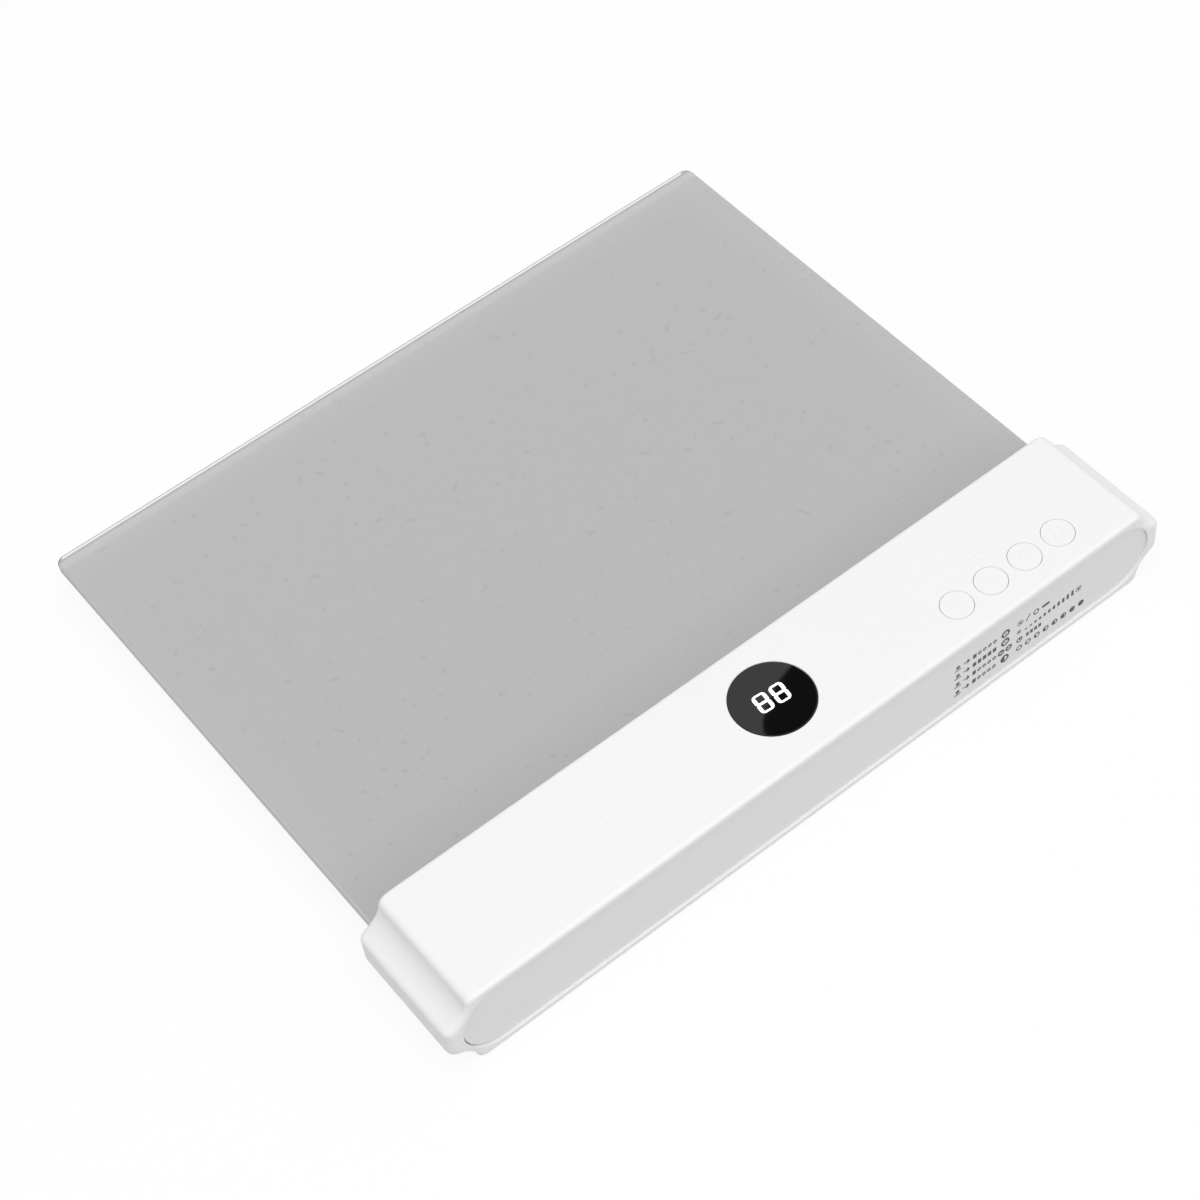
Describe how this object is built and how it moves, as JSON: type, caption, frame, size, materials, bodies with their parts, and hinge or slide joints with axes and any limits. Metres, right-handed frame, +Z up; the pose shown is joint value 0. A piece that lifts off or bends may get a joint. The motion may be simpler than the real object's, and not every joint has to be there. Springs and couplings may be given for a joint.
{
  "type": "flat book light",
  "caption": "Flat book light: a clear light panel held along one edge by a white bar with a round display window and a row of push buttons.",
  "frame": {"origin": "middle of the overall box, on the surface that the bar rests on", "axes": "+X along the bar towards the buttons, +Y from the bar towards the panel's far edge, +Z up"},
  "size_m": [0.2148, 0.176, 0.0256],
  "materials": {
    "white_shell": "fine satin moulding, white",
    "front_plate": "satin moulding with a printed legend",
    "clear_panel": "polished clear acrylic",
    "black_window": "polished black",
    "dark_plastic": "dark moulding",
    "circuit_board": "green solder mask",
    "white_board": "white solder mask",
    "white_nylon": "natural nylon",
    "diode": "yellow phosphor gel",
    "cell_wrap": "blue shrink wrap over a metal can",
    "nickel": "plain nickel strip",
    "inlet_metal": "bright formed steel",
    "screw_steel": "zinc plated",
    "red_insulation": "soft red insulation"
  },
  "bodies": {
    "lamp": {"top_shell": "white_shell", "bottom_shell": "white_shell", "front_plate": "front_plate", "light_panel": "clear_panel", "display_window": "black_window", "digit_module": "dark_plastic", "controller_chip": "dark_plastic", "driver_chip": "dark_plastic", "charge_chip": "dark_plastic", "link_header": "dark_plastic", "lead_black": "dark_plastic", "strip_lead_black": "dark_plastic", "switch_minus": "dark_plastic", "switch_plus": "dark_plastic", "switch_power": "dark_plastic", "switch_mode": "dark_plastic", "main_board": "circuit_board", "charge_board": "circuit_board", "led_board": "white_board", "battery_socket": "white_nylon", "led_01": "diode", "led_02": "diode", "led_03": "diode", "led_04": "diode", "led_05": "diode", "led_06": "diode", "led_07": "diode", "led_08": "diode", "led_09": "diode", "led_10": "diode", "led_11": "diode", "led_12": "diode", "battery_cell": "cell_wrap", "tab_positive": "nickel", "tab_negative": "nickel", "usb_socket": "inlet_metal", "case_screw_1": "screw_steel", "case_screw_2": "screw_steel", "case_screw_3": "screw_steel", "case_screw_4": "screw_steel", "board_screw_1": "screw_steel", "board_screw_2": "screw_steel", "board_screw_3": "screw_steel", "charge_screw_1": "screw_steel", "charge_screw_2": "screw_steel", "lead_red": "red_insulation", "strip_lead_red": "red_insulation"},
    "minus_key": {"button_minus": "white_shell", "plunger_minus": "dark_plastic"},
    "plus_key": {"button_plus": "white_shell", "plunger_plus": "dark_plastic"},
    "power_key": {"button_power": "white_shell", "plunger_power": "dark_plastic"},
    "mode_key": {"button_mode": "white_shell", "plunger_mode": "dark_plastic"}
  },
  "joints": [
    {"name": "minus_press", "type": "slide", "parent": "lamp", "child": "minus_key", "axis": [0, 0, -1], "range_m": [0, 0.0005], "stiffness_N_per_m": 300},
    {"name": "plus_press", "type": "slide", "parent": "lamp", "child": "plus_key", "axis": [0, 0, -1], "range_m": [0, 0.0005], "stiffness_N_per_m": 300},
    {"name": "power_press", "type": "slide", "parent": "lamp", "child": "power_key", "axis": [0, 0, -1], "range_m": [0, 0.0005], "stiffness_N_per_m": 300},
    {"name": "mode_press", "type": "slide", "parent": "lamp", "child": "mode_key", "axis": [0, 0, -1], "range_m": [0, 0.0005], "stiffness_N_per_m": 300}
  ]
}
